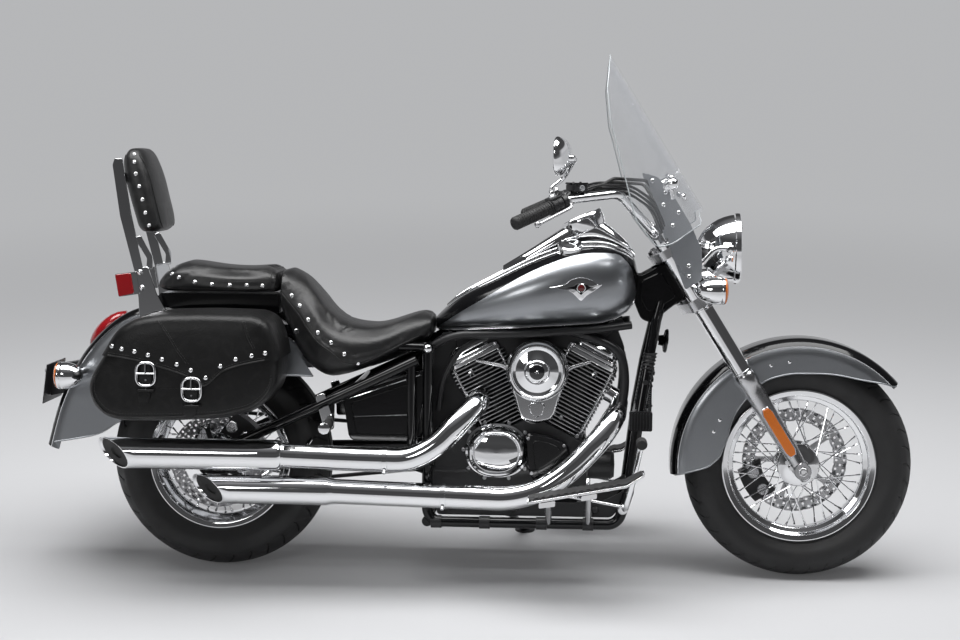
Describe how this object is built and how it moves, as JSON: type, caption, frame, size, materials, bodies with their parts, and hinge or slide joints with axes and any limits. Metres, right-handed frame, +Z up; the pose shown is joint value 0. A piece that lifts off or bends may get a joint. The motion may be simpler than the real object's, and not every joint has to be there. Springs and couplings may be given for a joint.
{
  "type": "cruiser motorcycle",
  "caption": "Road cruiser motorcycle with a V-twin engine, wire-spoke wheels, windshield, leather saddlebags and a backrest, parked on its side stand.",
  "frame": {"origin": "on the floor under the middle of the outline of the bike as it leans on its side stand", "axes": "+X forward, +Y to the rider's left, +Z up; the bike leans 9 degrees to its left, towards +Y"},
  "size_m": [2.4724, 0.9928, 1.454],
  "materials": {
    "tyre": "matt black rubber",
    "chrome": "bright chrome plate",
    "steel": "ground steel",
    "aluminium": "satin cast aluminium",
    "black_paint": "gloss black paint",
    "grey_paint": "metallic grey paint",
    "black_plastic": "satin black moulding",
    "black_rubber": "black rubber",
    "lens": "clear lamp glass",
    "clear_sheet": "clear acrylic sheet",
    "black_leather": "black leather"
  },
  "bodies": {
    "chassis": {"main_frame": "black_paint", "swingarm": "black_paint", "rear_axle": "steel", "rear_caliper": "black_paint", "drive_belt": "black_rubber", "engine_cases": "aluminium", "engine_covers": "chrome", "cylinders": "aluminium", "rocker_covers": "chrome", "air_cleaner": "chrome", "radiator": "black_paint", "exhaust_front": "chrome", "exhaust_rear": "chrome", "fuel_tank": "grey_paint", "tank_console": "chrome", "rider_seat": "black_leather", "passenger_seat": "black_leather", "fender_rails": "black_paint", "rear_fender": "grey_paint", "rear_lamps": "chrome", "plate_bracket": "black_paint", "sissy_bar": "chrome", "backrest_pad": "black_leather", "saddlebag_left": "black_leather", "saddlebag_right": "black_leather", "side_covers": "black_paint", "foot_rests": "steel"},
    "steering": {"fork_sliders": "aluminium", "fork_tubes": "chrome", "steering_yokes": "black_paint", "front_axle": "steel", "front_fender": "grey_paint", "front_caliper": "black_paint", "handlebar": "chrome", "bar_controls": "black_plastic", "control_cables": "black_rubber", "mirrors": "chrome", "headlight": "chrome", "headlight_lens": "lens", "front_brackets": "chrome", "front_signals": "chrome", "windshield": "clear_sheet"},
    "front_wheel": {"front_tyre": "tyre", "front_rim": "chrome", "front_hub": "chrome", "front_disc": "steel"},
    "rear_wheel": {"rear_tyre": "tyre", "rear_rim": "chrome", "rear_hub": "chrome", "rear_disc_and_pulley": "steel"},
    "side_stand": {"side_stand": "chrome"},
    "bag_lid_left": {"bag_lid_left": "black_leather"},
    "bag_lid_right": {"bag_lid_right": "black_leather"}
  },
  "joints": [
    {"name": "steering_turn", "type": "hinge", "parent": "chassis", "child": "steering", "pos_m": [0.5608, -0.05494, 0.81586], "axis": [-0.5299, 0.1327, 0.8376], "range_deg": [-36, 36]},
    {"name": "front_wheel_spin", "type": "hinge", "parent": "steering", "child": "front_wheel", "pos_m": [0.91615, -0.13389, 0.31735], "axis": [0, 0.9877, -0.1564], "continuous": true},
    {"name": "rear_wheel_spin", "type": "hinge", "parent": "chassis", "child": "rear_wheel", "pos_m": [-0.72885, -0.13444, 0.31389], "axis": [0, 0.9877, -0.1564], "continuous": true},
    {"name": "side_stand_fold", "type": "hinge", "parent": "chassis", "child": "side_stand", "pos_m": [0.08965, 0.01053, 0.10413], "axis": [0, 0.7576, 0.6527], "range_deg": [0, 98]},
    {"name": "bag_lid_left_hinge", "type": "hinge", "parent": "chassis", "child": "bag_lid_left", "pos_m": [-0.74635, 0.0887, 0.72555], "axis": [1, 0, 0], "range_deg": [0, 90]},
    {"name": "bag_lid_right_hinge", "type": "hinge", "parent": "chassis", "child": "bag_lid_right", "pos_m": [-0.74635, -0.21946, 0.77436], "axis": [-1, 0, 0], "range_deg": [0, 90]}
  ]
}
